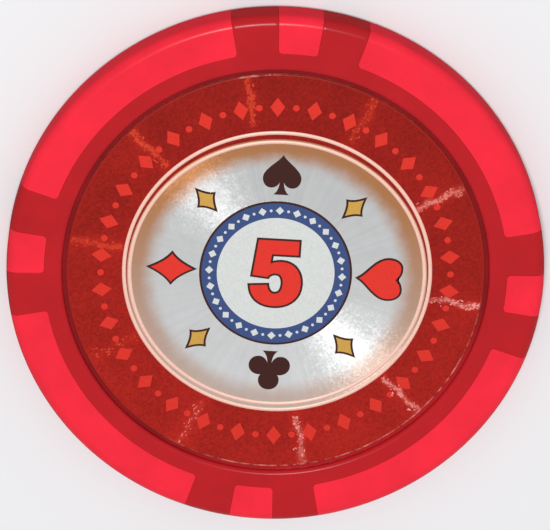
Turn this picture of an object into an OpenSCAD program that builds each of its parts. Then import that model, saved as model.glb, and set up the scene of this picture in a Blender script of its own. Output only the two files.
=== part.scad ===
// Poker chip: a two-colour moulding round a steel slug, with a foil inlay in each face.
// The chip lies flat. The origin is the centre of its rear face, +Z is its axis, and +Y points
// at the short edge spot above the top of the front inlay.

/* [Chip] */
// Outside diameter of the chip
chip_d = 40; // [34:0.5:50]
// Thickness of the chip from face to face
chip_h = 3.3; // [3:0.1:5]
// Rounding where a face turns into the rim
edge_r = 0.75; // [0.2:0.05:1]

/* [Edge spots] */
// Number of short spots, with a long spot between each two
spot_count = 4; // [3:1:6]
// Arc that a short spot covers, in degrees
short_spot_arc = 9.5; // [6:0.5:14]
// Arc of body colour between two spots, in degrees
spot_gap_arc = 10.1; // [6:0.1:14]
// Radial width of a spot on the face
spot_w = 2.8; // [2:0.1:4]
// Rounding of a spot's inner corners
spot_corner_r = 0.3; // [0.1:0.05:0.6]

/* [Spot keys] */
// Radial width of the neck between a spot and the head of its key
key_neck_w = 0.5; // [0.3:0.05:0.8]
// Radial width of the head of the key
key_head_w = 0.7; // [0.4:0.05:1]
// Body plastic left over and under the head of the key
key_skin = 0.85; // [0.6:0.05:1.1]
// Step from the head of the key down to its neck, on each side
key_step = 0.3; // [0.1:0.05:0.45]
// Distance from the end of a spot to the end of its key
key_inset = 0.4; // [0.2:0.05:0.8]

/* [Inlay] */
// Radial width of plain face between the spots and the recess for the inlay
land_w = 1.35; // [0.8:0.05:3]
// Rounding of the lip of the recess
lip_r = 0.35; // [0.05:0.01:0.4]
// Gap between the edge of the inlay and the wall of the recess
inlay_gap = 0.3; // [0.05:0.05:0.5]
// Thickness of the printed foil
inlay_t = 0.15; // [0.1:0.01:0.3]
// Thickness of the adhesive under the foil
adhesive_t = 0.05; // [0.03:0.01:0.15]
// Depth of the foil below the face of the chip
inlay_sink = 0.25; // [0.1:0.01:0.3]

/* [Steel slug] */
// Body plastic between the rim of the slug and the keys of the spots
slug_rim_wall = 1.5; // [0.8:0.1:4]
// Body plastic between each flat of the slug and the recess above it
slug_floor_t = 0.35; // [0.3:0.05:0.8]
// Number of holes through the slug, filled by posts of the body
slug_hole_count = 6; // [3:1:8]
// Diameter of a hole through the slug
slug_hole_d = 3; // [1.5:0.1:4]
// Distance from the rim of the slug to the centre of a hole
slug_hole_inset = 5.5; // [3:0.1:7]

/* [Locating holes] */
// Number of holes in each recess, left by the mould's pins that hold the slug
pin_hole_count = 3; // [2:1:4]
// Diameter of a locating hole
pin_hole_d = 1.6; // [1:0.1:2.5]
// Distance from the rim of the slug to the centre of a locating hole
pin_hole_inset = 2; // [1.5:0.1:2.5]

/* [Fit] */
// Seam between the body and each piece moulded into it
seam = 0.01; // [0.005:0.005:0.03]

/* [Hidden] */
$fn = 96;
// Overrun of a cut past the face that it opens
overrun = 0.5;
// Depth by which the circle of a rounded corner crosses the two sides that it joins
corner_bite = 0.005;
body_red = [0.74, 0.15, 0.17];
spot_red = [0.97, 0.2, 0.26];
foil_red = [0.62, 0.16, 0.13];
glue_clear = [0.85, 0.83, 0.76];
steel_grey = [0.6, 0.61, 0.63];

chip_r = chip_d / 2;
spot_r = chip_r - spot_w;
key_r = spot_r - key_neck_w - key_head_w;
recess_r = spot_r - land_w;
inlay_r = recess_r - inlay_gap;
recess_depth = adhesive_t + inlay_t + inlay_sink;
slug_r = key_r - slug_rim_wall;
slug_h = chip_h - 2 * (recess_depth + slug_floor_t);

// Turn from +X to the first spots, at +Y
top_angle = 90;
spot_pitch = 360 / spot_count;
long_spot_arc = spot_pitch - short_spot_arc - 2 * spot_gap_arc;
short_spots = [for (i = [1:spot_count]) str("short_spot_", i)];
long_spots = [for (i = [1:spot_count]) str("long_spot_", i)];

// Angle, in degrees, of an arc of this length on a circle of this radius
function arc_angle(length, radius) = length / radius * 180 / PI;

// Direction of a spot: the short ones count clockwise from the top, the long ones lie half a step on
function short_spot_angle(i) = top_angle - (i - 1) * spot_pitch;
function long_spot_angle(i) = short_spot_angle(i) - spot_pitch / 2;

// What lies on the front is turned about the middle of the thickness to lie on the rear
module on_rear() {
    translate([0, 0, chip_h]) mirror([0, 0, 1]) children();
}

// Half section of the whole chip, radius across and height up, with both rim edges rounded
module chip_section() {
    square([chip_r - edge_r, chip_h]);
    translate([0, edge_r]) square([chip_r, chip_h - 2 * edge_r]);
    for (z = [edge_r, chip_h - edge_r])
        translate([chip_r - edge_r, z]) circle(edge_r);
}

// Half section of one recess, in two steps that leave a square seat for the rounded lip
module recess_section() {
    translate([0, chip_h - recess_depth]) square([recess_r, recess_depth + overrun]);
    translate([0, chip_h - lip_r]) square([recess_r + lip_r, lip_r + overrun]);
}

// Half section of the body before its notches and cavity are cut
module body_section() {
    difference() {
        chip_section();
        recess_section();
        translate([0, chip_h]) mirror([0, 1]) recess_section();
    }
    for (z = [lip_r, chip_h - lip_r])
        translate([recess_r + lip_r, z]) circle(lip_r);
}

// Slice of the plane, centred on +X, from the axis past the rim
module wedge(half_angle) {
    far_x = chip_r + overrun;
    far_y = far_x * tan(half_angle);
    polygon([[0, 0], [far_x, -far_y], [far_x, far_y]]);
}

// Face view of a spot centred on +X: radial sides, round inner corners, open past the rim.
// The body's notch is the same outline with grow set to the seam.
module spot_outline(arc, grow) {
    half = arc / 2 + arc_angle(grow, spot_r);
    inner_r = spot_r - grow;
    corner_r = spot_corner_r + grow;
    reach = corner_r - corner_bite;
    centre_r = inner_r + reach;
    centre_angle = half - asin(reach / centre_r);
    intersection() {
        wedge(half);
        difference() {
            union() {
                difference() {
                    wedge(half);
                    circle(centre_r);
                }
                wedge(centre_angle);
                for (side = [-1, 1])
                    rotate(side * centre_angle) translate([centre_r, 0]) circle(corner_r);
            }
            circle(inner_r);
        }
    }
}

// Half section of the key that holds a spot: a neck, and a thicker head that can't pull out
module key_section(grow) {
    neck_z = key_skin + key_step - grow;
    head_z = key_skin - grow;
    translate([key_r - grow, head_z]) square([key_head_w + 2 * grow, chip_h - 2 * head_z]);
    translate([key_r, neck_z]) square([spot_r + spot_corner_r - key_r, chip_h - 2 * neck_z]);
}

// A spot and its key, centred on +X, running past the faces and the rim of the chip
module spot_blank(arc, grow) {
    key_half = arc / 2 - arc_angle(key_inset - grow, spot_r);
    translate([0, 0, -overrun]) linear_extrude(chip_h + 2 * overrun) spot_outline(arc, grow);
    rotate(-key_half) rotate_extrude(angle = 2 * key_half) key_section(grow);
}

// A spot trimmed to the rounded outside of the chip
module edge_spot(arc, angle) {
    intersection() {
        rotate_extrude() chip_section();
        rotate(angle) spot_blank(arc, 0);
    }
}

module short_spot(i) {
    color(spot_red) edge_spot(short_spot_arc, short_spot_angle(i));
}

module long_spot(i) {
    color(spot_red) edge_spot(long_spot_arc, long_spot_angle(i));
}

// The slug's solid or, with grow set to the seam, the cavity and posts that fit it
module slug_blank(grow) {
    translate([0, 0, (chip_h - slug_h) / 2 - grow])
        difference() {
            cylinder(r = slug_r + grow, h = slug_h + 2 * grow);
            for (i = [1:slug_hole_count])
                rotate(top_angle - i * 360 / slug_hole_count)
                    translate([slug_r - slug_hole_inset, 0, -overrun])
                        cylinder(d = slug_hole_d - 2 * grow, h = slug_h + 2 * overrun);
        }
}

module steel_slug() {
    color(steel_grey) slug_blank(0);
}

// Holes through the floor of the front recess, down to the flat of the slug between its holes
module pin_holes() {
    for (i = [1:pin_hole_count])
        rotate(top_angle - (i * 360 / pin_hole_count + 180 / slug_hole_count))
            translate([slug_r - pin_hole_inset, 0, chip_h - recess_depth - slug_floor_t - seam])
                cylinder(d = pin_hole_d, h = slug_floor_t + overrun);
}

module chip_body() {
    color(body_red)
        difference() {
            rotate_extrude() body_section();
            slug_blank(seam);
            pin_holes();
            on_rear() pin_holes();
            for (i = [1:spot_count]) {
                rotate(short_spot_angle(i)) spot_blank(short_spot_arc, seam);
                rotate(long_spot_angle(i)) spot_blank(long_spot_arc, seam);
            }
        }
}

module adhesive() {
    color(glue_clear)
        translate([0, 0, chip_h - recess_depth]) cylinder(r = inlay_r, h = adhesive_t);
}

module inlay() {
    color(foil_red)
        translate([0, 0, chip_h - recess_depth + adhesive_t]) cylinder(r = inlay_r, h = inlay_t);
}

chip_body();
steel_slug();
inlay();  // front_inlay
on_rear() inlay();  // rear_inlay
adhesive();  // front_adhesive
on_rear() adhesive();  // rear_adhesive
for (i = [1:spot_count]) {
    short_spot(i);
    long_spot(i);
}
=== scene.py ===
# Poker chip: moulded body and edge spots, printed foil inlays, and a plain studio to show them in.
from functools import partial
from math import asin, atan2, ceil, cos, hypot, pi, radians, sin

import bmesh
import bpy
from bpy.props import FloatProperty, FloatVectorProperty, IntProperty, PointerProperty
from bpy.types import Node, NodeSocket, Operator, Panel, PropertyGroup
from mathutils import Matrix, Vector
from mathutils.geometry import interpolate_bezier


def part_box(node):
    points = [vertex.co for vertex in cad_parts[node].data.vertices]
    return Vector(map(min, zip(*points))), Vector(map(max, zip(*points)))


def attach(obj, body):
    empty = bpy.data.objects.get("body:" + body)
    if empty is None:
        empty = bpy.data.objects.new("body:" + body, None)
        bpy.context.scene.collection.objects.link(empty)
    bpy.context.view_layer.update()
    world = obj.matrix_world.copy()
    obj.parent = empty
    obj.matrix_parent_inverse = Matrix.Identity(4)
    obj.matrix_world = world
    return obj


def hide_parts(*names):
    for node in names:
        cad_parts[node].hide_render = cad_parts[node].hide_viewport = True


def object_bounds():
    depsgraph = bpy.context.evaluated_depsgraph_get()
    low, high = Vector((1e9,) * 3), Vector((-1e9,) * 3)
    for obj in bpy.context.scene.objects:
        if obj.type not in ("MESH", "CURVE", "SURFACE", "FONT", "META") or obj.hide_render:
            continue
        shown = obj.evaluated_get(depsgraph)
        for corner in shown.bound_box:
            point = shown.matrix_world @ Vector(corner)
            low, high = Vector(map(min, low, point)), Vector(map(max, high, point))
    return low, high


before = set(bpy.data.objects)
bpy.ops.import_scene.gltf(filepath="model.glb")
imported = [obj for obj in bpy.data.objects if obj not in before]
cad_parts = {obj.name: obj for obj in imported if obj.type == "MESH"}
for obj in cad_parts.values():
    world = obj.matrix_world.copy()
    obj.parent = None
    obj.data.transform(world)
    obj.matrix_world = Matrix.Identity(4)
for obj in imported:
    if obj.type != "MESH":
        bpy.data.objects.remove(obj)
CAD_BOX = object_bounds()

bl_info = {
    "name": "Poker Chip",
    "version": (1, 0, 0),
    "blender": (4, 5, 0),
    "location": "3D View > Sidebar > Poker Chip",
    "description": "Moulds a poker chip's body and edge spots, prints its foil inlays and lights it",
    "category": "Object",
}

MM = 0.001
FULL_TURN = 2 * pi
QUARTER = pi / 2
# Tilt of the camera from the chip's axis, and turn of the camera and of the picture's top from +Y to -X
VIEW_TILT = radians(20.4)
VIEW_TURN = radians(7.9)
VIEW_ROLL = radians(5.5)
# Distance of the camera, and of the picture's centre from the centre of the front face
VIEW_DISTANCE = 355 * MM
AIM_UP = 0.705 * MM
AIM_LEFT = 0.05 * MM
PIXELS_PER_MM = 13.47
PHOTO_WIDTH = 550
SENSOR_WIDTH = 36.0
# Place, side and power of the soft box
KEY_PLACE = Vector((-0.037, 0.128, 0.534))
KEY_SIDE = 0.1
KEY_POWER = 1.65
# Bearing in degrees, clockwise from the top, where the foil's edge has a painted glint and the groove's
# painted shade is lightest
PAINTED_LIGHT_BEARING = 150

# Steps round the chip's axis and along a rounding, and points on a curve of the print
ARC_STEP = radians(0.75)
ROUND_STEP = radians(9)
CURVE_POINTS = 10
# Points closer than this are merged
MERGE = 1e-7
# Faces that point up or down by at least this much are flats
LEVEL = 0.99999
# Narrowest share of its width to which an outline's sharp point is cut off
CUT_OFF = 0.45

# Sizes that the CAD parts in model.glb give
CHIP_R = CAD_BOX[1].x
CHIP_H = CAD_BOX[1].z
INLAY_LOW, INLAY_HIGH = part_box("front_inlay")
INLAY_R = INLAY_HIGH.x
INLAY_TOP = INLAY_HIGH.z
RECESS_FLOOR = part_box("front_adhesive")[0].z
SLUG_LOW, SLUG_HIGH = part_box("steel_slug")


def linear(code):
    """Linear colour, with alpha, of an sRGB hex code such as C4262C."""
    channels = [int(code[i : i + 2], 16) / 255 for i in (0, 2, 4)]
    return (*(c / 12.92 if c <= 0.04045 else ((c + 0.055) / 1.055) ** 2.4 for c in channels), 1.0)


def length(name, millimetres, description):
    """Property for a length in millimetres."""
    return FloatProperty(
        name=name, description=description, default=millimetres * MM, unit="LENGTH", precision=6
    )


def angle(name, degrees, description):
    """Property for an angle in degrees."""
    return FloatProperty(name=name, description=description, default=radians(degrees), subtype="ANGLE")


def count(name, number, description):
    """Property for a number."""
    return IntProperty(name=name, description=description, default=number, min=1)


def colour(name, code, description):
    """Property for a colour from an sRGB hex code."""
    return FloatVectorProperty(
        name=name, description=description, default=linear(code), subtype="COLOR", size=4, min=0.0, max=1.0
    )


class MouldSettings(PropertyGroup):
    """Sizes of the moulded body and its edge spots."""

    edge_r: length("Edge rounding", 0.75, "Rounding where a face turns into the rim")
    spot_w: length("Spot width", 2.8, "Radial width of an edge spot on the face")
    short_spot_arc: angle("Short spot", 9.5, "Arc that a short spot covers")
    spot_gap_arc: angle("Spot gap", 10.1, "Arc of body colour between two spots")
    spot_corner_r: length("Spot corner", 0.3, "Rounding of a spot's inner corners")
    spot_count: count("Spot pairs", 4, "Number of short and of long spots")
    land_w: length("Land width", 1.35, "Plain face between the spots and the recess")
    lip_r: length("Lip rounding", 0.35, "Rounding of the lip of the recess")
    seam: length("Seam", 0.01, "Gap between a spot and the notch that holds it")
    seam_bevel: length("Seam bevel", 0.02, "Soft edge along each seam")


class LabelSettings(PropertyGroup):
    """Sizes of the print on the foil."""

    turn: angle("Print turn", 1.8, "Turn of the print against the edge spots")
    ink_t: length("Ink thickness", 0.008, "Thickness of one layer of ink")
    ring_w: length("Ring half width", 11.17, "Half the width of the oval between the ring lines")
    ring_h: length("Ring half height", 10.66, "Half the height of that oval")
    ring_shift: length("Ring shift", 0.11, "Shift of its centre to the right")
    line_w: length("Ring line", 0.28, "Width of a ring line")
    line_gap: length("Line spacing", 0.42, "Distance between the lines' middles at the sides")
    tall_gap: length("Tall spacing", 0.6, "Mean of that distance at the top and bottom")
    line_lift: length("Line lift", 0.12, "Height of the outer line's centre over the inner one's")
    bare_drop: length("Bare foil drop", 0.12, "Depth of the bare foil's centre under the oval's")
    pip_count: count("Border pips", 30, "Lozenges round the red border")
    pip_ring_r: length("Border radius", 13.0, "Radius of the ring of lozenges")
    pip_turn: angle("Border turn", -3.0, "Turn of that ring, to clear the rays")
    pip_h: length("Border pip height", 1.5, "Length of a lozenge along the radius")
    pip_w: length("Border pip width", 1.1, "Width of a lozenge round the ring")
    dot_d: length("Border dot", 0.5, "Diameter of the dot between two lozenges")
    roundel_r: length("Roundel radius", 4.95, "Radius of the middle of the blue band")
    roundel_w: length("Roundel band", 1.15, "Width of the blue band")
    bead_count: count("Beads", 24, "Pale lozenges in the blue band")
    bead_h: length("Bead height", 0.62, "Length of a pale lozenge")
    bead_dot_d: length("Bead dot", 0.217, "Diameter of the dot between two beads")
    numeral_h: length("Numeral height", 5.2, "Height of the numeral")
    suit_h: length("Suit height", 3.1, "Height of a card suit")
    suit_ring_r: length("Suit radius", 7.75, "Distance of the suits from the centre")
    lozenge_h: length("Lozenge height", 1.86, "Height of a gold lozenge")
    flash_count: count("Flashes", 10, "Bright rays in the red foil")
    flash_turn: angle("Flash turn", 24.7, "Clockwise turn of the first ray from the top")
    flash_spread: angle("Flash spread", 2.2, "Arc that a ray covers")
    fleck_count: count("Flecks", 26, "Flecks in a ray")
    fleck_h: length("Fleck length", 0.2, "Usual length of a fleck")
    fleck_w: length("Fleck width", 0.11, "Usual width of a fleck")
    outline_w: length("Outline", 0.16, "Width of a motif's dark outline")


class ColourSettings(PropertyGroup):
    """Colours of the plastics, foils and inks."""

    body_red: colour("Body", "BE1D24", "Dark red plastic of the body")
    spot_red: colour("Spots", "FA2B3F", "Light red plastic of the edge spots")
    foil_red: colour("Red foil", "981D16", "Red lacquer over the foil")
    foil_silver: colour("Silver foil", "DCDCDA", "Bare foil in the middle")
    foil_tan: colour("Foil shade", "C08458", "Warm shade round the edge of the bare foil")
    # the two colours of the painted sparks in the red foil
    flash_pink: colour("Pink flash", "F6A298", "Sparks at the lower right of the red foil")
    flash_orange: colour("Orange flash", "DC4A2C", "Sparks on the rest of the red foil")
    line_cream: colour("Ring lines", "FFCEBC", "Pale double line round the bare foil")
    ink_red: colour("Red ink", "E63428", "Numeral and red suits")
    ink_border: colour("Border ink", "DA3226", "Lozenges in the red border")
    ink_brown: colour("Brown ink", "3A140D", "Outlines and dark suits")
    ink_blue: colour("Blue ink", "3C5082", "Band of the roundel")
    ink_gold: colour("Gold ink", "CFA24E", "Gold lozenges")
    ink_pale: colour("Pale ink", "DADDDA", "Beads and the panel of the roundel")


class ChipSettings(PropertyGroup):
    """All settings of the chip."""

    mould: PointerProperty(type=MouldSettings)
    label: PointerProperty(type=LabelSettings)
    colours: PointerProperty(type=ColourSettings)


PREFIXES = ("ShaderNode", "GeometryNode", "FunctionNode", "")
# Setting that the second word in the kind of a node gives
MODES = {"Math": "operation", "VectorMath": "operation", "MapRange": "interpolation_type", "Mix": "data_type"}


def add_node(tree, kind, *inputs, **settings):
    """Adds a node with its settings, and sets or links its inputs, in order or by name in a dictionary.

    The kind is Blender's name without its prefix, and a mode. A node that is given for an input is linked
    by the first of its outputs that is in use, and a list links all its nodes.
    """
    short, _, mode = kind.partition(" ")
    full = next(prefix + short for prefix in PREFIXES if hasattr(bpy.types, prefix + short))
    node = tree.nodes.new(full)
    if mode:
        settings[MODES[short]] = mode
    for name, value in settings.items():
        setattr(node, name, value)
    pairs = list(zip((socket for socket in node.inputs if socket.enabled), inputs))
    if inputs and isinstance(inputs[-1], dict):
        pairs[-1:] = [(node.inputs[name], value) for name, value in inputs[-1].items()]
    for socket, value in pairs:
        for item in value if isinstance(value, list) else [value]:
            if isinstance(item, Node):
                item = next(output for output in item.outputs if output.enabled)
            if isinstance(item, NodeSocket):
                tree.links.new(item, socket)
            else:
                socket.default_value = item
    return node


# Materials

ACROSS = (1.0, 1.0, 0.0)
# Thin gloss lacquer over the print
LACQUER = {"Coat Weight": 0.05, "Coat Roughness": 0.12}


def new_material(name):
    """An empty node material, and the function that adds nodes to it."""
    material = bpy.data.materials.new(name)
    material.use_nodes = True
    material.node_tree.nodes.clear()
    return material, partial(add_node, material.node_tree)


def finish_material(material, base, rough, more=None):
    """Adds the surface shader with its colour, roughness and other inputs, and the output."""
    inputs = {"Base Color": base, "Roughness": rough, **(more or {})}
    shader = add_node(material.node_tree, "BsdfPrincipled", inputs)
    add_node(material.node_tree, "OutputMaterial", shader)
    return material


def towards(add, bearing, none, full, low=0.0, high=1.0):
    """Value from low to high between two angles from a bearing, in degrees clockwise from the top."""
    place = add("TexCoord").outputs["Object"]
    out = add("VectorMath NORMALIZE", add("VectorMath MULTIPLY", place, ACROSS))
    way = (sin(radians(bearing)), cos(radians(bearing)), 0.0)
    facing = add("VectorMath DOT_PRODUCT", out, way)
    return add("MapRange", facing, cos(radians(none)), cos(radians(full)), low, high)


def groove_painted_shade(add, radius, from_middle, recess_r):
    """Share of painted shade: much on the floor of the groove round the foil, none on the open faces."""
    inside = add("Math LESS_THAN", radius, recess_r + 0.15 * MM)
    floor = RECESS_FLOOR - CHIP_H / 2
    deep = add("MapRange", from_middle, floor, floor + 0.25 * MM, 1.0, 0.0)
    # the painted shade is lighter at the lower right, where the light falls into the groove
    less_on_lit_side = towards(add, PAINTED_LIGHT_BEARING, 60, 30, 1.0, 0.2)
    return add("Math MULTIPLY", add("Math MULTIPLY", inside, deep), less_on_lit_side)


def moulded_plastic(name, tint, recess_r=0.0):
    """Moulded ABS with a mineral filler: an even satin skin, faintly clouded, with a fine grain; on the body,
    painted shade darkens the groove round the foil.
    """
    material, add = new_material(name)
    place = add("TexCoord").outputs["Object"]
    radius = add("VectorMath LENGTH", add("VectorMath MULTIPLY", place, ACROSS))
    height = add("SeparateXYZ", place).outputs["Z"]
    from_middle = add("Math ABSOLUTE", add("Math SUBTRACT", height, CHIP_H / 2))
    # clouds about 3 mm across, and a grain of about 0.12 mm
    clouds = add("TexNoise", place, 1 / (3 * MM), 4.0)
    grain = add("TexNoise", place, 1 / (0.12 * MM), 3.0)
    clouded = add("MapRange", clouds, 0.3, 0.7, 0.92, 1.06)
    # painted shade darkens the floor of the groove round the foil
    painted_shade = groove_painted_shade(add, radius, from_middle, recess_r)
    value = add("Math MULTIPLY_ADD", painted_shade, -0.5, clouded)
    solid = add("HueSaturation", {"Color": tint, "Value": value})
    satin = add("MapRange", grain, 0.0, 1.0, 0.18, 0.3)
    # the wall of the rim is scuffed dull by racks and other chips
    scuffed = add("MapRange", radius, CHIP_R - 0.3 * MM, CHIP_R - 0.05 * MM, 0.0, 0.5)
    rough = add("Math ADD", satin, scuffed)
    bump = add("Bump", {"Height": grain, "Strength": 0.12, "Distance": 0.02 * MM})
    return finish_material(material, solid, rough, {"Normal": bump, "IOR": 1.5, "Specular IOR Level": 0.14})


def glitter_normal(add, place, lean):
    """Direction that leans another way in each embossed cell of the foil, and two draws for it."""
    # cells about 0.14 mm across, coarser than the real emboss so that they show
    cells = add("TexVoronoi", {"Vector": place, "Scale": 1 / 0.14}).outputs["Color"]
    tilt = add("VectorMath SCALE", add("VectorMath SUBTRACT", cells, (0.5, 0.5, 0.5)), lean)
    facing = add("NewGeometry").outputs["Normal"]
    normal = add("VectorMath NORMALIZE", add("VectorMath ADD", facing, tilt))
    draws = add("SeparateColor", {"Color": cells}).outputs
    return normal, draws["Red"], draws["Green"]


def bare_centre(label):
    """Centre of the oval of bare foil, which lies a little lower than the ring lines."""
    return Vector((label.ring_shift, -label.bare_drop, 0.0))


def silver_foil(label, colours):
    """Bare metallised PET, turned in a fine spiral: silver, with a bow tie that swings with the light."""
    material, add = new_material("Metallised PET, bare")
    place = add("Attribute", attribute_name="print_mm").outputs["Vector"]
    centred = add("VectorMath SUBTRACT", place, bare_centre(label) / MM)
    # the bare foil ends midway between the two ring lines
    oval = add("VectorMath DIVIDE", centred, (label.ring_w / MM, label.ring_h / MM, 1.0))
    reach = add("VectorMath LENGTH", oval)
    height = add("SeparateXYZ", oval).outputs["Y"]
    # blotches about 1.6 mm across, ragged down to the emboss, and streaks about 3 degrees wide
    mottle = add("TexNoise", place, 1 / 1.6, 8.0, 0.7)
    streaks = add("TexNoise", add("VectorMath NORMALIZE", centred), 1 / radians(3), 3.0)
    streaked = add("MapRange", streaks, 0.3, 0.7, 0.95, 1.04)
    blotched = add("MapRange", mottle, 0.0, 1.0, 0.9, 1.1)
    uneven = add("Math MULTIPLY", streaked, blotched)
    # painted shade: the foil is a little darker towards the top, and it is turned more finely there
    silver_top_shade = add("MapRange", height, -0.9, 0.9, 1.08, 0.9)
    turned = add("MapRange", height, -0.9, 0.9, 0.222, 0.152)
    value = add("Math MULTIPLY", uneven, silver_top_shade)
    rough = add("Math MULTIPLY_ADD", mottle, 0.06, turned)
    silver = add("HueSaturation", {"Color": colours.foil_silver, "Value": value})
    # a ragged shade lies round its edge, and is stronger towards the top
    ragged = add("Math MULTIPLY_ADD", mottle, 0.12, reach)
    strength = add("MapRange", height, -0.8, 0.5, 0.5, 1.0)
    shade = add("MapRange SMOOTHSTEP", ragged, 0.84, 0.99, 0.0, strength)
    base = add("Mix RGBA", shade, silver, colours.foil_tan)
    normal, _, _ = glitter_normal(add, place, 0.05)
    tangent = add("Tangent", direction_type="RADIAL", axis="Z")
    spiral = {"Anisotropic": 0.88, "Anisotropic Rotation": 0.153, "Tangent": tangent}
    return finish_material(material, base, rough, {"Metallic": 1.0, "Normal": normal, **spiral, **LACQUER})


def painted_spark_tint(add, colours):
    """Colour of a painted spark, which follows the light: pink at the lower right and orange elsewhere."""
    return add("Mix RGBA", towards(add, 130, 100, 45), colours.flash_orange, colours.flash_pink)


def red_foil(label, colours):
    """Metallised PET under red lacquer: deep red with a fine glitter, and embossed rays with painted glints.
    """
    material, add = new_material("Metallised PET, red lacquer")
    place = add("Attribute", attribute_name="print_mm").outputs["Vector"]
    normal, cell_value, cell_draw = glitter_normal(add, place, 0.07)
    parts = add("SeparateXYZ", place).outputs
    # lacquer that pools in patches about 5 mm across, and rays that waver in waves about 1.5 mm long
    pools = add("TexNoise", place, 1 / 5, 3.0)
    waves = add("TexNoise", place, 1 / 1.5, 2.0)
    waver = radians(5)
    wavering = add("Math MULTIPLY_ADD", waves, waver, add("Math ARCTAN2", parts["X"], parts["Y"]))
    step = FULL_TURN / label.flash_count
    first = label.flash_turn + waver / 2
    steps = add("Math MULTIPLY_ADD", wavering, 1 / step, 0.5 - first / step)
    step_on = add("Math WRAP", steps, 0.0, 1.0)
    from_ray = add("Math ABSOLUTE", add("Math SUBTRACT", step_on, 0.5))
    # each ray is a painted glint: a wide glow, a narrow band and sparks in some of its cells
    glow, band, chance = (
        add("MapRange SMOOTHSTEP", from_ray, 0.0, reach, most, 0.0)
        for reach, most in ((0.13, 0.16), (0.05, 0.3), (0.042, 0.75))
    )
    spark = add("Math MAXIMUM", add("Math LESS_THAN", cell_draw, chance), band)
    # none lie between the ring lines
    outer = (label.ring_w + label.line_gap) / MM
    shares = [add("Math GREATER_THAN", add("VectorMath LENGTH", place), outer)]
    # some stretches of a ray are dull, and the rays at the lower left and at the upper right get less of the
    # painted glint, after how the light falls
    shares.append(add("MapRange", pools, 0.35, 0.62, 0.2, 0.8))
    for way, none, full, left in ((222, 66, 26, 0.1), (28, 30, 14, 0.35)):
        shares.append(towards(add, way, none, full, 1.0, left))
    for share in shares:
        spark = add("Math MULTIPLY", spark, share)
    grain = add("MapRange", cell_value, 0.0, 1.0, 0.82, 1.16)
    pooled = add("MapRange", pools, 0.0, 1.0, -0.3, 0.3)
    glowing = add("Math ADD", add("Math ADD", grain, pooled), glow)
    # painted shade: the red foil is darker towards the top and lighter towards the bottom
    edge = INLAY_R / MM
    red_top_shade = add("MapRange", parts["Y"], -edge, edge, 1.2, 0.8)
    value = add("Math MULTIPLY", glowing, red_top_shade)
    lacquer = add("HueSaturation", {"Color": colours.foil_red, "Value": value})
    base = add("Mix RGBA", spark, lacquer, painted_spark_tint(add, colours))
    surface = {"Metallic": 0.6, "Normal": normal, "Specular IOR Level": 0.1, **LACQUER}
    return finish_material(material, base, 0.5, surface)


def flash_foil(colours):
    """Embossed flecks of foil with painted sparks: pink and orange, some brighter than others."""
    material, add = new_material("Metallised PET, embossed flecks")
    glow = add("Attribute", attribute_name="glow").outputs["Fac"]
    base = add("Mix RGBA", glow, colours.ink_border, painted_spark_tint(add, colours))
    return finish_material(material, base, 0.4, {"Specular IOR Level": 0.1})


def cut_film():
    """Knife-cut edge of the PET film: a thin line with a painted glint that is pale in places, and dull red
    in others.
    """
    material, add = new_material("Cut PET film")
    place = add("TexCoord").outputs["Object"]
    # nicks of the knife about 0.6 mm apart break up the painted glint
    nicked = add("MapRange", add("TexNoise", place, 1 / (0.6 * MM), 3.0), 0.4, 0.66)
    # painted glints at the lower right and in a short stretch at the top
    painted_glint_places = add("Math MAXIMUM", towards(add, PAINTED_LIGHT_BEARING, 60, 30), towards(add, -9, 8, 4))
    painted_glint = add("Math MULTIPLY", nicked, painted_glint_places)
    base = add("Mix RGBA", painted_glint, linear("A2261E"), linear("F0988C"))
    return finish_material(material, base, 0.35, {"Specular IOR Level": 0.1})


def screen_ink(name, tint, metallic, rough):
    """Screen-printed ink under gloss lacquer: a solid tint with a faint unevenness from the mesh."""
    material, add = new_material(name)
    place = add("TexCoord").outputs["Object"]
    # mesh openings about 0.15 mm apart
    film = add("TexNoise", place, 1 / (0.15 * MM), 2.0)
    value = add("MapRange", film, 0.0, 1.0, 0.86, 1.14)
    base = add("HueSaturation", {"Color": tint, "Value": value})
    surface = {"Metallic": metallic, "Specular IOR Level": 0.2, **LACQUER}
    return finish_material(material, base, rough, surface)


def stamped_steel():
    """Bare cold-rolled steel: grey metal with a fine rolling grain along one direction."""
    material, add = new_material("Cold-rolled steel")
    place = add("TexCoord").outputs["Object"]
    # rolling lines about 0.1 mm apart and 4 mm long
    grain = (1 / (0.1 * MM), 1 / (4 * MM), 1 / MM)
    stretched = add("Mapping", {"Vector": place, "Scale": grain})
    lines = add("TexNoise", stretched, 1.0, 3.0)
    base = add("Mix RGBA", lines, linear("8A8C90"), linear("B4B6B9"))
    rough = add("MapRange", lines, 0.0, 1.0, 0.3, 0.5)
    return finish_material(material, base, rough, {"Metallic": 1.0})


def transfer_adhesive():
    """Acrylic transfer adhesive: a milky film with a soft, slightly uneven surface."""
    material, add = new_material("Acrylic adhesive")
    place = add("TexCoord").outputs["Object"]
    # flow marks about 1 mm across
    flow = add("TexNoise", place, 1 / MM, 3.0)
    base = add("Mix RGBA", flow, linear("CFCAB8"), linear("E2DED0"))
    return finish_material(material, base, 0.45)


def seen_directly(add):
    """One for a ray from the camera, a reflection or a clear piece, and zero for light that is gathered."""
    path = add("LightPath").outputs
    direct = add("Math MAXIMUM", path["Is Camera Ray"], path["Is Glossy Ray"])
    return add("Math MAXIMUM", direct, path["Is Transmission Ray"])


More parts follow.
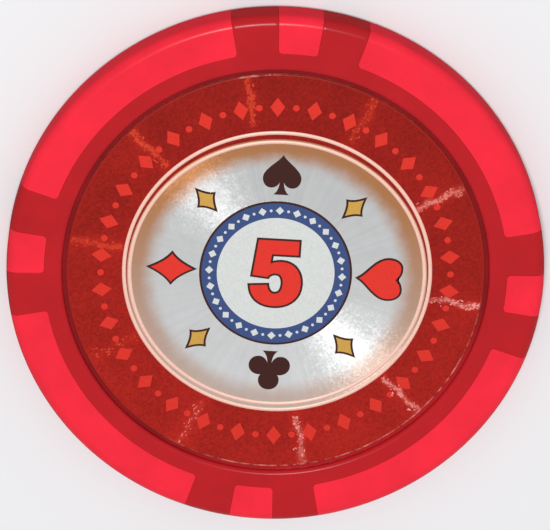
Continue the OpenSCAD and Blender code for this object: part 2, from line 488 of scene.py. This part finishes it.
def table_laminate():
    """Matt white laminate: an even pale top with a barely visible mottle."""
    material, add = new_material("Matt white laminate")
    place = add("TexCoord").outputs["Object"]
    # mottle about 30 mm across
    mottle = add("TexNoise", place, 1 / (30 * MM), 3.0)
    pale = add("Mix RGBA", mottle, linear("EFEFF2"), linear("F4F4F6"))
    # the light that it throws on the chip's rim is that of a darker table
    base = add("Mix RGBA", seen_directly(add), linear("9C948E"), pale)
    return finish_material(material, base, 0.6)


# Meshes


def new_object(name, data):
    """A new object in the scene, at the origin."""
    item = bpy.data.objects.new(name, data)
    bpy.context.scene.collection.objects.link(item)
    return item


def new_piece(name, bm, *materials):
    """A new object from a bmesh, smooth shaded."""
    mesh = bpy.data.meshes.new(name)
    bm.to_mesh(mesh)
    bm.free()
    for material in materials:
        mesh.materials.append(material)
    mesh.shade_smooth()
    return new_object(name, mesh)


def settle(piece):
    """Turns what the piece's modifiers make into its plain mesh."""
    bpy.context.view_layer.update()
    graph = bpy.context.evaluated_depsgraph_get()
    mesh = bpy.data.meshes.new_from_object(piece.evaluated_get(graph))
    piece.modifiers.clear()
    piece.data = mesh
    mesh.name = piece.name


def keep(piece, slot, *nodes):
    """Hangs a finished piece on the chip's root, and hides the CAD nodes that it may stand for."""
    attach(piece, "root")
    if nodes:
        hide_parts(*nodes)


def polar(radius, turn, z):
    """Point at this radius and direction from the chip's axis."""
    return Vector((radius * cos(turn), radius * sin(turn), z))


def ring(radius, z, turns):
    """Points round the chip's axis at these directions."""
    return [polar(radius, turn, z) for turn in turns]


def close(bm):
    """Merges doubles and turns all faces outwards."""
    bmesh.ops.remove_doubles(bm, verts=bm.verts, dist=MERGE)
    bmesh.ops.recalc_face_normals(bm, faces=bm.faces)


def spread(start, end, step):
    """Even run of values from start to end, no further apart than step."""
    steps = max(1, ceil(abs(end - start) / step))
    return [start + (end - start) * i / steps for i in range(steps + 1)]


def skin(bm, rows, closed):
    """Quads between neighbouring rows of points, which may be closed."""
    rows = [[bm.verts.new(point) for point in row] for row in rows]
    for near, far in zip(rows, rows[1:]):
        points = len(near)
        for i in range(points if closed else points - 1):
            j = (i + 1) % points
            bm.faces.new((near[i], near[j], far[j], far[i]))
    return rows


def rim_profile(mould):
    """Radius and height over both rounded edges of the rim, from front to rear."""
    flat_r = CHIP_R - mould.edge_r
    profile = []
    for start, z in ((QUARTER, CHIP_H - mould.edge_r), (0.0, mould.edge_r)):
        for lean in spread(start, start - QUARTER, ROUND_STEP):
            profile.append((flat_r + mould.edge_r * cos(lean), z + mould.edge_r * sin(lean)))
    return profile


def spot_edge(mould, arc, grow):
    """Direction and inner radius along a spot's outline, with rounded corners."""
    inner_r = CHIP_R - mould.spot_w - grow
    corner_r = mould.spot_corner_r + grow
    centre_r = inner_r + corner_r
    lean = asin(corner_r / centre_r)
    arc_end = arc / 2 + grow / inner_r - lean
    corner = []
    for swing in spread(QUARTER + lean, pi, ROUND_STEP):
        out = centre_r + corner_r * cos(swing)
        across = corner_r * sin(swing)
        corner.append((arc_end + atan2(across, out), hypot(out, across)))
    middle = [(turn, inner_r) for turn in spread(-arc_end, arc_end, ARC_STEP)][1:-1]
    return [(-turn, radius) for turn, radius in corner] + middle + corner[::-1]


def spots(mould):
    """Name, node, arc and direction of each edge spot, clockwise from the top."""
    pitch = FULL_TURN / mould.spot_count
    long_arc = pitch - mould.short_spot_arc - 2 * mould.spot_gap_arc
    for i in range(mould.spot_count):
        turn = QUARTER - i * pitch
        yield f"short_edge_spot_{i + 1}", f"short_spot_{i + 1}", mould.short_spot_arc, turn
        yield f"long_edge_spot_{i + 1}", f"long_spot_{i + 1}", long_arc, turn - pitch / 2


def flatten(mesh):
    """Keeps flats flat: each point on one takes its direction, also for the roundings beside it."""
    normals = [vertex.normal.copy() for vertex in mesh.vertices]
    for face in mesh.polygons:
        if abs(face.normal.z) > LEVEL:
            for i in face.vertices:
                normals[i] = face.normal.copy()
    mesh.normals_split_custom_set_from_vertices(normals)


def soften(piece, mould):
    """Bevels the sharp edges along the seams and keeps the flats flat."""
    bevel = piece.modifiers.new("Seam edges", "BEVEL")
    bevel.width = mould.seam_bevel
    bevel.segments = 2
    bevel.limit_method = "ANGLE"
    bevel.angle_limit = radians(50)
    settle(piece)
    flatten(piece.data)


def spot_mesh(mould, arc, turn):
    """Closed solid of one edge spot, in sections from end to end."""
    bm = bmesh.new()
    rim = rim_profile(mould)
    sections = []
    for swing, inner_r in spot_edge(mould, arc, 0.0):
        section = [(inner_r, 0.0), (inner_r, CHIP_H)] + rim
        sections.append([polar(radius, turn + swing, z) for radius, z in section])
    rows = skin(bm, sections, True)
    bm.faces.new(rows[0])
    bm.faces.new(rows[-1])
    close(bm)
    return bm


def body_mesh(mould):
    """Closed solid of the body, with recesses, notches for the spots and a cavity for the slug."""
    bm = bmesh.new()
    rim = rim_profile(mould)
    recess_r = CHIP_R - mould.spot_w - mould.land_w
    land_r = recess_r + mould.lip_r
    lip_z = CHIP_H - mould.lip_r
    lip = [(recess_r, RECESS_FLOOR)]
    for lean in spread(pi, QUARTER, ROUND_STEP):
        lip.append((land_r + mould.lip_r * cos(lean), lip_z + mould.lip_r * sin(lean)))
    turns = []
    ordered = sorted(spots(mould), key=lambda spot: spot[3])
    for (_, _, arc, turn), (_, _, next_arc, next_turn) in zip(ordered, ordered[1:] + ordered[:1]):
        edge = spot_edge(mould, arc, mould.seam)
        side_r = edge[0][1]
        notch = []
        for swing, inner_r in edge:
            section = ((land_r, CHIP_H), (inner_r, CHIP_H), (inner_r, 0.0), (land_r, 0.0))
            notch.append([polar(radius, turn + swing, z) for radius, z in section])
        skin(bm, notch, False)
        next_turn += FULL_TURN if next_turn < turn else 0.0
        next_half = -spot_edge(mould, next_arc, mould.seam)[0][0]
        gap = spread(turn + edge[-1][0], next_turn - next_half, ARC_STEP)
        section = [(land_r, CHIP_H), (side_r, CHIP_H)] + rim + [(side_r, 0.0), (land_r, 0.0)]
        rows = skin(bm, [[polar(radius, swing, z) for radius, z in section] for swing in gap], False)
        bm.faces.new(rows[0][1:-1])
        bm.faces.new(rows[-1][1:-1])
        turns += [turn + swing for swing, _ in edge[:-1]] + gap[:-1]
    for rear in (False, True):
        rings = skin(bm, [ring(radius, CHIP_H - z if rear else z, turns) for radius, z in lip], True)
        bm.faces.new(rings[0])
    close(bm)
    shell = set(bm.faces)
    heights = (SLUG_LOW.z - mould.seam, SLUG_HIGH.z + mould.seam)
    for cap in skin(bm, [ring(SLUG_HIGH.x + mould.seam, z, turns[::4]) for z in heights], True):
        bm.faces.new(cap)
    cavity = [face for face in bm.faces if face not in shell]
    bmesh.ops.recalc_face_normals(bm, faces=cavity)
    bmesh.ops.reverse_faces(bm, faces=cavity)
    return bm


# Print


def on_foil(label, rear):
    """Place of the print on the front foil, or turned over on to the rear one."""
    turned = Matrix.Rotation(label.turn, 4, "Z")
    if rear:
        return Matrix.Translation((0, 0, CHIP_H - INLAY_TOP)) @ Matrix.Rotation(pi, 4, "Y") @ turned
    return Matrix.Translation((0, 0, INLAY_TOP)) @ turned


def oval_ring(label, share, turns):
    """Points round the oval of bare foil, or round this share of it."""
    centre = bare_centre(label)
    return [
        centre + share * Vector((label.ring_w * cos(turn), label.ring_h * sin(turn), 0.0))
        for turn in turns
    ]


def inlay_mesh(label):
    """Foil disc, with its face at zero height: a bare oval, a lacquered ring and a softened cut edge."""
    bm = bmesh.new()
    thickness = INLAY_TOP - INLAY_LOW.z
    ease = 0.12 * MM
    drop = 0.05 * MM
    turns = spread(0.0, FULL_TURN, ARC_STEP * 2)[:-1]
    bare = skin(bm, [oval_ring(label, share, turns) for share in (0.3, 0.6, 1.0)], True)
    bm.faces.new(bare[0])
    bare_faces = len(bm.faces)
    rings = [oval_ring(label, 1.0, turns), ring(INLAY_R - ease, 0.0, turns)]
    rings += [ring(INLAY_R, z, turns) for z in (-drop, -thickness)]
    lacquered = skin(bm, rings, True)
    bm.faces.new(lacquered[-1])
    bm.faces.ensure_lookup_table()
    for face in bm.faces[bare_faces:]:
        face.material_index = 1
    for face in bm.faces[bare_faces + len(turns) : bare_faces + 3 * len(turns)]:
        face.material_index = 2
    close(bm)
    return bm


def prism(bm, outline, top):
    """Flat plate of ink with this outline, from the foil up."""
    lower = [bm.verts.new((x, y, 0.0)) for x, y in outline]
    upper = [bm.verts.new((x, y, top)) for x, y in outline]
    bm.faces.new(upper)
    bm.faces.new(lower[::-1])
    for i in range(len(outline)):
        j = (i + 1) % len(outline)
        bm.faces.new((lower[i], lower[j], upper[j], upper[i]))


def trace(*steps):
    """Outline through these steps: a point is a corner, and three are a curve's handles and end."""
    outline = []
    for step in steps:
        if isinstance(step[0], tuple):
            knots = [Vector(point).to_3d() for point in (outline[-1], *step)]
            outline += [tuple(point.xy) for point in interpolate_bezier(*knots, CURVE_POINTS)[1:]]
        else:
            outline.append(step)
    return outline


def mirrored(half):
    """Whole outline from its right half, which starts on the middle line."""
    return half + [(-x, y) for x, y in reversed(half) if x > MERGE]


def outset(outline, distance):
    """Outline moved outwards by this distance, with cut-off points."""
    area = sum(a[0] * b[1] - b[0] * a[1] for a, b in zip(outline, outline[1:] + outline[:1]))
    moved = []
    for i, point in enumerate(outline):
        before = (Vector(point) - Vector(outline[i - 1])).normalized()
        after = (Vector(outline[(i + 1) % len(outline)]) - Vector(point)).normalized()
        normal = Vector((before.y + after.y, -before.x - after.x))
        share = max(normal.length / 2, CUT_OFF)
        normal = normal.normalized() * (distance / share if area > 0 else -distance / share)
        moved.append((point[0] + normal.x, point[1] + normal.y))
    return moved


# Outlines of the print, one unit tall and centred on the origin
HEART = mirrored(trace(
    (0.0, -0.5), ((0.1, -0.3), (0.5, -0.1), (0.5, 0.2)),
    ((0.5, 0.38), (0.41, 0.5), (0.28, 0.5)), ((0.16, 0.5), (0.08, 0.46), (0.0, 0.37)),
))
# Foot of the spade and of the club
FOOT = ((0.06, -0.34), (0.11, -0.45), (0.19, -0.5))
SPADE = mirrored(trace(
    (0.0, 0.5), ((0.09, 0.33), (0.46, 0.14), (0.46, -0.08)),
    ((0.46, -0.23), (0.37, -0.33), (0.25, -0.33)), ((0.16, -0.33), (0.08, -0.27), (0.05, -0.19)), FOOT,
))
CLUB = mirrored(trace(
    (0.0, 0.5), ((0.16, 0.5), (0.25, 0.38), (0.25, 0.26)),
    ((0.25, 0.2), (0.24, 0.16), (0.2, 0.12)), ((0.37, 0.14), (0.5, 0.02), (0.5, -0.12)),
    ((0.5, -0.27), (0.38, -0.37), (0.25, -0.36)), ((0.15, -0.35), (0.08, -0.28), (0.05, -0.19)), FOOT,
))
DIAMOND = mirrored(trace(
    (0.0, 0.5), ((0.09, 0.3), (0.22, 0.1), (0.36, 0.0)), ((0.22, -0.1), (0.09, -0.3), (0.0, -0.5)),
))
FIVE = trace(
    (-0.27, 0.5), (0.31, 0.5), (0.31, 0.29), (-0.07, 0.29), (-0.085, 0.145),
    ((-0.02, 0.175), (0.04, 0.18), (0.08, 0.18)), ((0.26, 0.18), (0.37, 0.04), (0.37, -0.15)),
    ((0.37, -0.38), (0.2, -0.5), (0.0, -0.5)), ((-0.2, -0.5), (-0.34, -0.4), (-0.36, -0.2)),
    (-0.11, -0.18), ((-0.1, -0.26), (-0.06, -0.31), (0.0, -0.31)),
    ((0.07, -0.31), (0.11, -0.25), (0.11, -0.15)), ((0.11, -0.05), (0.07, 0.0), (0.0, 0.0)),
    ((-0.05, 0.0), (-0.09, -0.02), (-0.11, -0.06)), (-0.33, -0.04),
)


def stamp(outline, height, radius=0.0, turn=0.0):
    """Outline at this height, and at this distance and clockwise turn from the top."""
    place = Matrix.Rotation(-turn, 4, "Z") @ Matrix.Translation((0.0, radius, 0.0))
    return [tuple((place @ Vector((x * height, y * height, 0.0))).xy) for x, y in outline]


# Geometry Nodes trees

SOCKETS = {int: "NodeSocketInt", float: "NodeSocketFloat", bpy.types.Material: "NodeSocketMaterial"}


def new_tree(name, values):
    """What adds nodes to a new tree with an input for each value, and the sockets of these."""
    tree = bpy.data.node_groups.new(name, "GeometryNodeTree")
    for key, value in values.items():
        tree.interface.new_socket(key, in_out="INPUT", socket_type=SOCKETS[type(value)])
    tree.interface.new_socket("Geometry", in_out="OUTPUT", socket_type="NodeSocketGeometry")
    return partial(add_node, tree), add_node(tree, "NodeGroupInput").outputs


def finish_tree(add, geometry, material):
    """Realizes the instances, sets the material and ends the tree."""
    dressed = add("SetMaterial", {"Geometry": add("RealizeInstances", geometry), "Material": material})
    return add("NodeGroupOutput", dressed).id_data


def grow(name, make_tree, values, place):
    """A piece of print from a node tree, turned into a plain mesh and laid in its place."""
    piece = new_object(name, bpy.data.meshes.new(name))
    modifier = piece.modifiers.new("Nodes", "NODES")
    modifier.node_group = make_tree(values)
    for item in modifier.node_group.interface.items_tree:
        if item.in_out == "INPUT":
            modifier[item.identifier] = values[item.name]
    settle(piece)
    bm = bmesh.new()
    bm.from_mesh(piece.data)
    close(bm)
    bm.to_mesh(piece.data)
    bm.free()
    piece.data.transform(place)
    keep(piece, "inlay_foil")


def oval_line_tree(values):
    """Two oval lines of ink, one inside the other."""
    add, size = new_tree("oval_lines", values)
    section = add("CurvePrimitiveQuadrilateral", size["Line Width"], size["Ink Height"])
    lines = []
    for side in (-0.5, 0.5):
        wide = add("Math MULTIPLY_ADD", size["Spacing"], side, size["Half Width"])
        high = add("Math MULTIPLY_ADD", size["Tall Spacing"], side, size["Half Height"])
        rise = add("CombineXYZ", {"Y": add("Math MULTIPLY", size["Lift"], side)})
        stretch = add("CombineXYZ", wide, high, 1.0)
        circle = add("CurvePrimitiveCircle", 240, 1.0)
        oval = add("Transform", {"Geometry": circle, "Translation": rise, "Scale": stretch})
        level = add("SetCurveNormal", oval, mode="Z_UP")
        lines.append(add("CurveToMesh", level, section))
    return finish_tree(add, add("JoinGeometry", lines), size["Ink"])


def pip_ring_tree(values):
    """A ring of lozenges that point outwards, with a dot between each two."""
    add, size = new_tree("pip_ring", values)
    pips = []
    half_step = add("Math DIVIDE", pi, size["Count"])
    for width, tall, corners, turn in (("Pip Width", "Pip Length", 4, 0.0), ("Dot", "Dot", 12, half_step)):
        points = add("MeshCircle", size["Count"], size["Radius"])
        plate = add("MeshCylinder", {"Vertices": corners, "Radius": 0.5, "Depth": size["Ink Height"]})
        stretch = add("CombineXYZ", size[width], size[tall], 1.0)
        outwards = add("AlignRotationToVector", {"Vector": add("InputPosition")}, axis="Y", pivot_axis="Z")
        shape = {"Points": points, "Instance": plate, "Rotation": outwards, "Scale": stretch}
        placed = add("InstanceOnPoints", shape)
        pips.append(add("Transform", {"Geometry": placed, "Rotation": add("CombineXYZ", {"Z": turn})}))
    return finish_tree(add, add("JoinGeometry", pips), size["Ink"])


def flash_tree(values):
    """Flecks of foil, strewn along rays from the centre, each a little tilted."""
    add, size = new_tree("foil_flashes", values)
    ray = add("Math FLOOR", add("Math DIVIDE", add("InputIndex"), size["Flecks"]))
    step = add("Math DIVIDE", -FULL_TURN, size["Rays"])
    bearing = add("Math MULTIPLY_ADD", ray, step, size["First Ray"])
    # what is drawn for each fleck, with a fixed seed for each draw
    limits = (
        (-0.5, 0.5), (-0.5, 0.5), (size["Inner Radius"], size["Outer Radius"]), (-0.6, 0.6),
        (-0.06, 0.06), (-0.06, 0.06), (0.4, 1.5), (0.5, 1.4), (0.4, 1.0),
    )
    one_side, other_side, radius, swing, pitch, roll, longer, wider, glow = (
        add("RandomValue", low, high, {"Seed": seed}, data_type="FLOAT")
        for seed, (low, high) in enumerate(limits, 1)
    )
    # two draws together crowd the flecks towards the middle of the ray
    side = add("Math ADD", one_side, other_side)
    turn = add("Math MULTIPLY_ADD", side, size["Ray Spread"], bearing)
    direction = add("CombineXYZ", add("Math COSINE", turn), add("Math SINE", turn))
    spot = add("VectorMath SCALE", direction, radius)
    points = add("Points", add("Math MULTIPLY", size["Rays"], size["Flecks"]), spot)
    plate = add("MeshCylinder", {"Vertices": 6, "Radius": 0.5, "Depth": size["Ink Height"]})
    tilt = add("CombineXYZ", pitch, roll, add("Math ADD", turn, swing))
    long = add("Math MULTIPLY", size["Fleck Length"], longer)
    wide = add("Math MULTIPLY", size["Fleck Width"], wider)
    stretch = add("CombineXYZ", long, wide, 1.0)
    shape = {"Points": points, "Instance": plate, "Rotation": tilt, "Scale": stretch}
    flecks = add("InstanceOnPoints", shape)
    stored = {"Geometry": flecks, "Name": "glow", "Value": glow}
    glowing = add("StoreNamedAttribute", stored, data_type="FLOAT", domain="INSTANCE")
    return finish_tree(add, glowing, size["Foil"])


# Operators

SIDES = (("front", False), ("rear", True))


class CHIP_OT_mould_body(Operator):
    """Moulds the dark red body with its recesses and notches"""

    bl_idname = "poker_chip.mould_body"
    bl_label = "Mould Body"

    def execute(self, context):
        chip = context.scene.poker_chip
        recess_r = CHIP_R - chip.mould.spot_w - chip.mould.land_w
        material = moulded_plastic("Moulded ABS, dark red", chip.colours.body_red, recess_r)
        piece = new_piece("moulded_body", body_mesh(chip.mould), material)
        soften(piece, chip.mould)
        keep(piece, "body_plastic", "chip_body")
        return {"FINISHED"}


class CHIP_OT_mould_spots(Operator):
    """Moulds the light red spots into the notches of the body"""

    bl_idname = "poker_chip.mould_spots"
    bl_label = "Mould Edge Spots"

    def execute(self, context):
        chip = context.scene.poker_chip
        material = moulded_plastic("Moulded ABS, light red", chip.colours.spot_red)
        for name, node, arc, turn in spots(chip.mould):
            piece = new_piece(name, spot_mesh(chip.mould, arc, turn), material)
            soften(piece, chip.mould)
            keep(piece, "spot_plastic", node)
        return {"FINISHED"}


class CHIP_OT_dress_core(Operator):
    """Gives the slug and the adhesive their finishes"""

    bl_idname = "poker_chip.dress_core"
    bl_label = "Dress Slug and Adhesive"

    def execute(self, context):
        finishes = {"steel_slug": stamped_steel()}
        finishes["front_adhesive"] = finishes["rear_adhesive"] = transfer_adhesive()
        for node, material in finishes.items():
            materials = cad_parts[node].data.materials
            materials.clear()
            materials.append(material)
        return {"FINISHED"}


class CHIP_OT_lay_inlays(Operator):
    """Lays the printed foil discs in the recesses"""

    bl_idname = "poker_chip.lay_inlays"
    bl_label = "Lay Foil Inlays"

    def execute(self, context):
        chip = context.scene.poker_chip
        foils = (silver_foil(chip.label, chip.colours), red_foil(chip.label, chip.colours), cut_film())
        for side, rear in SIDES:
            piece = new_piece(f"{side}_foil_disc", inlay_mesh(chip.label), *foils)
            flatten(piece.data)
            place = piece.data.attributes.new("print_mm", "FLOAT_VECTOR", "POINT")
            for i, vertex in enumerate(piece.data.vertices):
                place.data[i].vector = vertex.co / MM
            piece.data.transform(on_foil(chip.label, rear))
            keep(piece, "inlay_foil", f"{side}_inlay")
        return {"FINISHED"}


class CHIP_OT_print_border(Operator):
    """Prints the ring lines and the red border, and strews the bright flecks"""

    bl_idname = "poker_chip.print_border"
    bl_label = "Print Border"

    def execute(self, context):
        chip = context.scene.poker_chip
        size = chip.label
        cream = screen_ink("Screen ink, cream", chip.colours.line_cream, 0.1, 0.35)
        red = screen_ink("Screen ink, border red", chip.colours.ink_border, 0.5, 0.4)
        lines = {
            "Half Width": size.ring_w, "Half Height": size.ring_h, "Spacing": size.line_gap,
            "Tall Spacing": size.tall_gap, "Lift": size.line_lift,
            "Line Width": size.line_w, "Ink Height": 2 * size.ink_t, "Ink": cream,
        }
        pips = {
            "Count": size.pip_count, "Radius": size.pip_ring_r, "Pip Length": size.pip_h,
            "Pip Width": size.pip_w, "Dot": size.dot_d, "Ink Height": 2 * size.ink_t, "Ink": red,
        }
        flashes = {
            "Rays": size.flash_count, "Flecks": size.fleck_count, "First Ray": QUARTER - size.flash_turn,
            "Inner Radius": size.ring_w + size.line_gap, "Outer Radius": INLAY_R - size.line_gap / 2,
            "Ray Spread": size.flash_spread, "Fleck Length": size.fleck_h, "Fleck Width": size.fleck_w,
            "Ink Height": 2 * size.ink_t, "Foil": flash_foil(chip.colours),
        }
        shifted = Matrix.Translation((size.ring_shift, 0.0, 0.0))
        turned = Matrix.Rotation(size.pip_turn, 4, "Z")
        raised = Matrix.Translation((0.0, 0.0, size.ink_t))
        for side, rear in SIDES:
            place = on_foil(size, rear)
            grow(f"{side}_ring_lines", oval_line_tree, lines, place @ shifted)
            grow(f"{side}_border_pips", pip_ring_tree, pips, place @ turned)
            grow(f"{side}_foil_flashes", flash_tree, flashes, place @ raised)
        return {"FINISHED"}


class CHIP_OT_print_emblem(Operator):
    """Prints the roundel with its numeral, and the card suits round it"""

    bl_idname = "poker_chip.print_emblem"
    bl_label = "Print Emblem"

    def execute(self, context):
        chip = context.scene.poker_chip
        size = chip.label
        red, brown, blue, gold, pale = (
            screen_ink(f"Screen ink, {name}", getattr(chip.colours, f"ink_{name}"), metallic, 0.35)
            for name, metallic in (("red", 0.0), ("brown", 0.0), ("blue", 0.2), ("gold", 0.7), ("pale", 0.2))
        )
        numeral = stamp(FIVE, size.numeral_h)
        spade, heart, club, diamond = (
            stamp(shape, size.suit_h, size.suit_ring_r, i * QUARTER)
            for i, shape in enumerate((SPADE, HEART, CLUB, DIAMOND))
        )
        lozenges = [stamp(DIAMOND, size.lozenge_h, size.suit_ring_r, (i + 0.5) * QUARTER) for i in range(4)]
        turns = spread(0.0, FULL_TURN, ARC_STEP * 4)[:-1]
        inner, outer = (
            [tuple(point.xy) for point in ring(size.roundel_r + half * size.roundel_w, 0.0, turns)]
            for half in (-0.5, 0.5)
        )
        backs = [outset(shape, size.outline_w) for shape in (outer, heart, diamond, *lozenges)]
        layers = {
            "emblem_brown": (brown, 1, [spade, club, *backs]),
            "emblem_blue": (blue, 2, [outer]),
            "emblem_pale": (pale, 3, [inner]),
            "numeral_outline": (brown, 4, [outset(numeral, size.outline_w)]),
            "numeral_and_suits": (red, 5, [numeral, heart, diamond]),
            "gold_lozenges": (gold, 2, lozenges),
        }
        beads = {
            "Count": size.bead_count, "Radius": size.roundel_r, "Pip Length": size.bead_h,
            "Pip Width": size.bead_h, "Dot": size.bead_dot_d, "Ink Height": 6 * size.ink_t, "Ink": pale,
        }
        for side, rear in SIDES:
            place = on_foil(size, rear)
            for name, (ink, layer, shapes) in layers.items():
                bm = bmesh.new()
                for shape in shapes:
                    prism(bm, shape, layer * size.ink_t)
                close(bm)
                piece = new_piece(f"{side}_{name}", bm, ink)
                piece.data.shade_flat()
                piece.data.transform(place)
                keep(piece, "inlay_foil")
            grow(f"{side}_roundel_beads", pip_ring_tree, beads, place)
        return {"FINISHED"}


class CHIP_OT_stage(Operator):
    """Sets up the floor, the light, the world and the camera"""

    bl_idname = "poker_chip.stage"
    bl_label = "Set the Stage"

    def execute(self, context):
        scene = context.scene
        scene.view_settings.view_transform = "Standard"
        bm = bmesh.new()
        bmesh.ops.create_grid(bm, x_segments=8, y_segments=8, size=2.0)
        floor = new_piece("floor", bm, table_laminate())
        self.light_world(scene)
        self.add_light()
        self.add_camera(scene)
        return {"FINISHED"}

    def light_world(self, scene):
        """Even white light, and a pale background where it is seen directly or in a reflection."""
        world = bpy.data.worlds.new("studio_world")
        scene.world = world
        world.use_nodes = True
        world.node_tree.nodes.clear()
        add = partial(add_node, world.node_tree)
        light = add("Background", {"Color": (1, 1, 1, 1), "Strength": 0.44})
        seen = add("Background", {"Color": linear("F2F3F6"), "Strength": 0.9})
        add("OutputWorld", add("MixShader", seen_directly(add), light, seen))

    def add_light(self):
        """A square soft box that faces the chip."""
        lamp = bpy.data.lights.new("key_light", "AREA")
        lamp.size = KEY_SIDE
        lamp.energy = KEY_POWER
        light = new_object("key_light", lamp)
        light.location = KEY_PLACE
        light.rotation_euler = (-KEY_PLACE).to_track_quat("-Z", "Y").to_euler()
        light.visible_camera = False

    def add_camera(self, scene):
        """The photograph's view: past the chip's axis on the +Y side, with +Y nearly at the top."""
        level_back = Vector((0.0, sin(VIEW_TILT), cos(VIEW_TILT)))
        back = Matrix.Rotation(VIEW_TURN, 3, "Z") @ level_back
        top = Matrix.Rotation(VIEW_ROLL, 3, "Z") @ Vector((0.0, 1.0, 0.0))
        up = (top - back * top.dot(back)).normalized()
        right = up.cross(back)
        aim = Vector((0.0, 0.0, CHIP_H)) + up * AIM_UP - right * AIM_LEFT
        lens = bpy.data.cameras.new("camera")
        lens.sensor_width = SENSOR_WIDTH
        lens.lens = PIXELS_PER_MM * (VIEW_DISTANCE / MM) * SENSOR_WIDTH / PHOTO_WIDTH
        lens.clip_start = 0.01
        camera = new_object("camera", lens)
        facing = Matrix((right, up, back)).transposed().to_4x4()
        camera.matrix_world = Matrix.Translation(aim + back * VIEW_DISTANCE) @ facing
        scene.camera = camera


OPERATORS = (
    CHIP_OT_mould_body,
    CHIP_OT_mould_spots,
    CHIP_OT_dress_core,
    CHIP_OT_lay_inlays,
    CHIP_OT_print_border,
    CHIP_OT_print_emblem,
    CHIP_OT_stage,
)


class CHIP_PT_panel(Panel):
    """Lists the steps that make the chip"""

    bl_idname = "CHIP_PT_panel"
    bl_label = "Poker Chip"
    bl_space_type = "VIEW_3D"
    bl_region_type = "UI"
    bl_category = "Poker Chip"

    def draw(self, context):
        for operator in OPERATORS:
            self.layout.operator(operator.bl_idname)


SETTINGS = (MouldSettings, LabelSettings, ColourSettings, ChipSettings)
CLASSES = (*SETTINGS, *OPERATORS, CHIP_PT_panel)


def register():
    for cls in CLASSES:
        bpy.utils.register_class(cls)
    bpy.types.Scene.poker_chip = PointerProperty(type=ChipSettings)


def unregister():
    del bpy.types.Scene.poker_chip
    for cls in reversed(CLASSES):
        bpy.utils.unregister_class(cls)


def main():
    register()
    bpy.ops.poker_chip.mould_body()
    bpy.ops.poker_chip.mould_spots()
    bpy.ops.poker_chip.dress_core()
    bpy.ops.poker_chip.lay_inlays()
    bpy.ops.poker_chip.print_border()
    bpy.ops.poker_chip.print_emblem()
    bpy.ops.poker_chip.stage()


if __name__ == "__main__":
    main()
